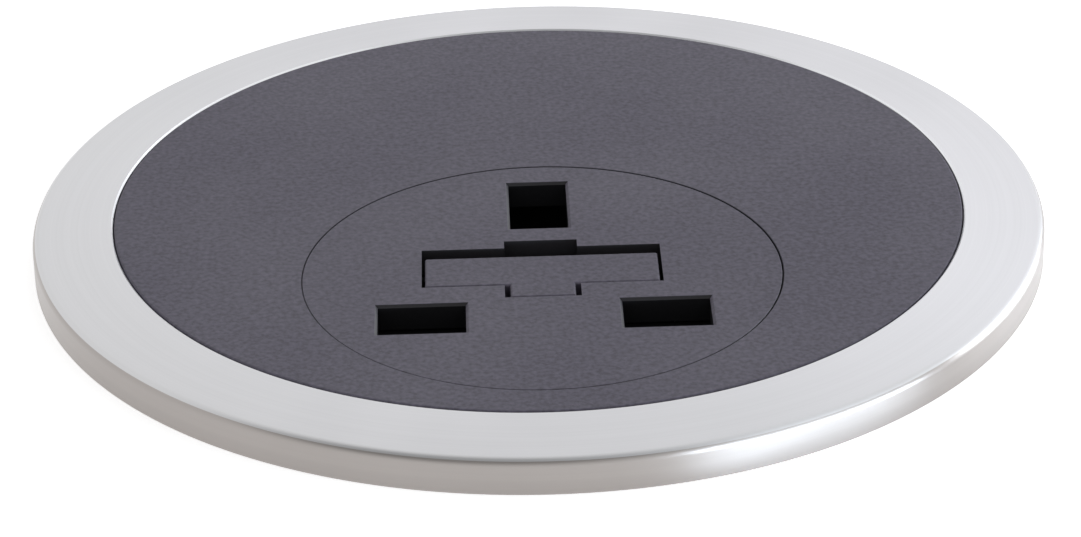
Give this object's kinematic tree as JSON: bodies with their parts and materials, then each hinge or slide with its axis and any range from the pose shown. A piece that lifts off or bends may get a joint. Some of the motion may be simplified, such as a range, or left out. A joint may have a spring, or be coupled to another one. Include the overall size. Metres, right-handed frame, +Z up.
{
  "type": "in-desk power module",
  "caption": "Round power module for a desk cable hole: flush earthed socket with fuse drawer, aluminium trim ring, threaded barrel, clamp nut and mains inlet.",
  "frame": {"origin": "centre of the seat that rests on the desk top, on the axis of the barrel and the desk hole", "axes": "+Z up out of the desk along the barrel's axis, -Y towards the user (the side of the line and neutral apertures), +X to the user's right"},
  "size_m": [0.096, 0.096, 0.0539],
  "materials": {
    "turned_aluminium": "satin, turned, clear anodised",
    "face_plastic": "fine spark-eroded grain",
    "insert_plastic": "fine spark-eroded grain",
    "drawer_plastic": "fine spark-eroded grain",
    "housing_plastic": "moulded, satin",
    "nut_plastic": "moulded, satin",
    "base_plastic": "moulded, fine grain",
    "inlet_plastic": "moulded, smooth",
    "carrier_plastic": "moulded",
    "shutter_plastic": "moulded, smooth",
    "gasket_foam": "closed-cell foam",
    "washer_rubber": "moulded rubber",
    "contact_brass": "rolled strip",
    "pin_nickel": "nickel plate, satin",
    "sleeve_brass": "tinned brass",
    "screw_zinc": "zinc plated",
    "spring_steel": "drawn wire",
    "fuse_cap_nickel": "nickel plate",
    "fuse_glass": "clear glass",
    "fuse_element": "drawn wire",
    "wire_brown": "extruded insulation",
    "wire_blue": "extruded insulation",
    "wire_green_yellow": "extruded insulation with a stripe"
  },
  "bodies": {
    "housing": {"bezel_ring": "turned_aluminium", "bezel_screws": "screw_zinc", "flange_gasket": "gasket_foam", "face_plate": "face_plastic", "face_screws": "screw_zinc", "socket_insert": "insert_plastic", "shutter_spring": "spring_steel", "fuse_clip": "contact_brass", "line_contact": "contact_brass", "neutral_contact": "contact_brass", "earth_contact": "contact_brass", "contact_carrier": "carrier_plastic", "carrier_screws": "screw_zinc", "housing_barrel": "housing_plastic", "base_cover": "base_plastic", "base_screws": "screw_zinc", "inlet_shell": "inlet_plastic", "inlet_line_pin": "pin_nickel", "inlet_neutral_pin": "pin_nickel", "inlet_earth_pin": "pin_nickel", "wire_sleeves": "sleeve_brass", "line_wire": "wire_brown", "neutral_wire": "wire_blue", "earth_wire": "wire_green_yellow"},
    "fuse_drawer": {"fuse_carrier": "drawer_plastic", "fuse_tube": "fuse_glass", "fuse_caps": "fuse_cap_nickel", "fuse_wire": "fuse_element"},
    "shutter": {"shutter": "shutter_plastic"},
    "clamp_washer": {"clamp_washer": "washer_rubber"},
    "clamp_nut": {"clamp_nut": "nut_plastic"}
  },
  "joints": [
    {"name": "fuse_drawer_lift", "type": "slide", "parent": "housing", "child": "fuse_drawer", "axis": [0, 0, 1], "range_m": [0, 0.012]},
    {"name": "shutter_slide", "type": "slide", "parent": "housing", "child": "shutter", "axis": [0, -1, 0], "range_m": [0, 0.0052], "stiffness_N_per_m": 120, "springref_m": -0.003, "deforming": ["shutter_spring"]},
    {"name": "washer_travel", "type": "slide", "parent": "housing", "child": "clamp_washer", "axis": [0, 0, 1], "range_m": [-0.022, 0]},
    {"name": "nut_turn", "type": "hinge", "parent": "clamp_washer", "child": "clamp_nut", "pos_m": [0, 0, -0.0225], "axis": [0, 0, 1], "range_deg": [-1980, 0]}
  ],
  "couplings": [
    {"joint": "washer_travel", "follows": "nut_turn", "m_per_rad": 0.0006366}
  ]
}
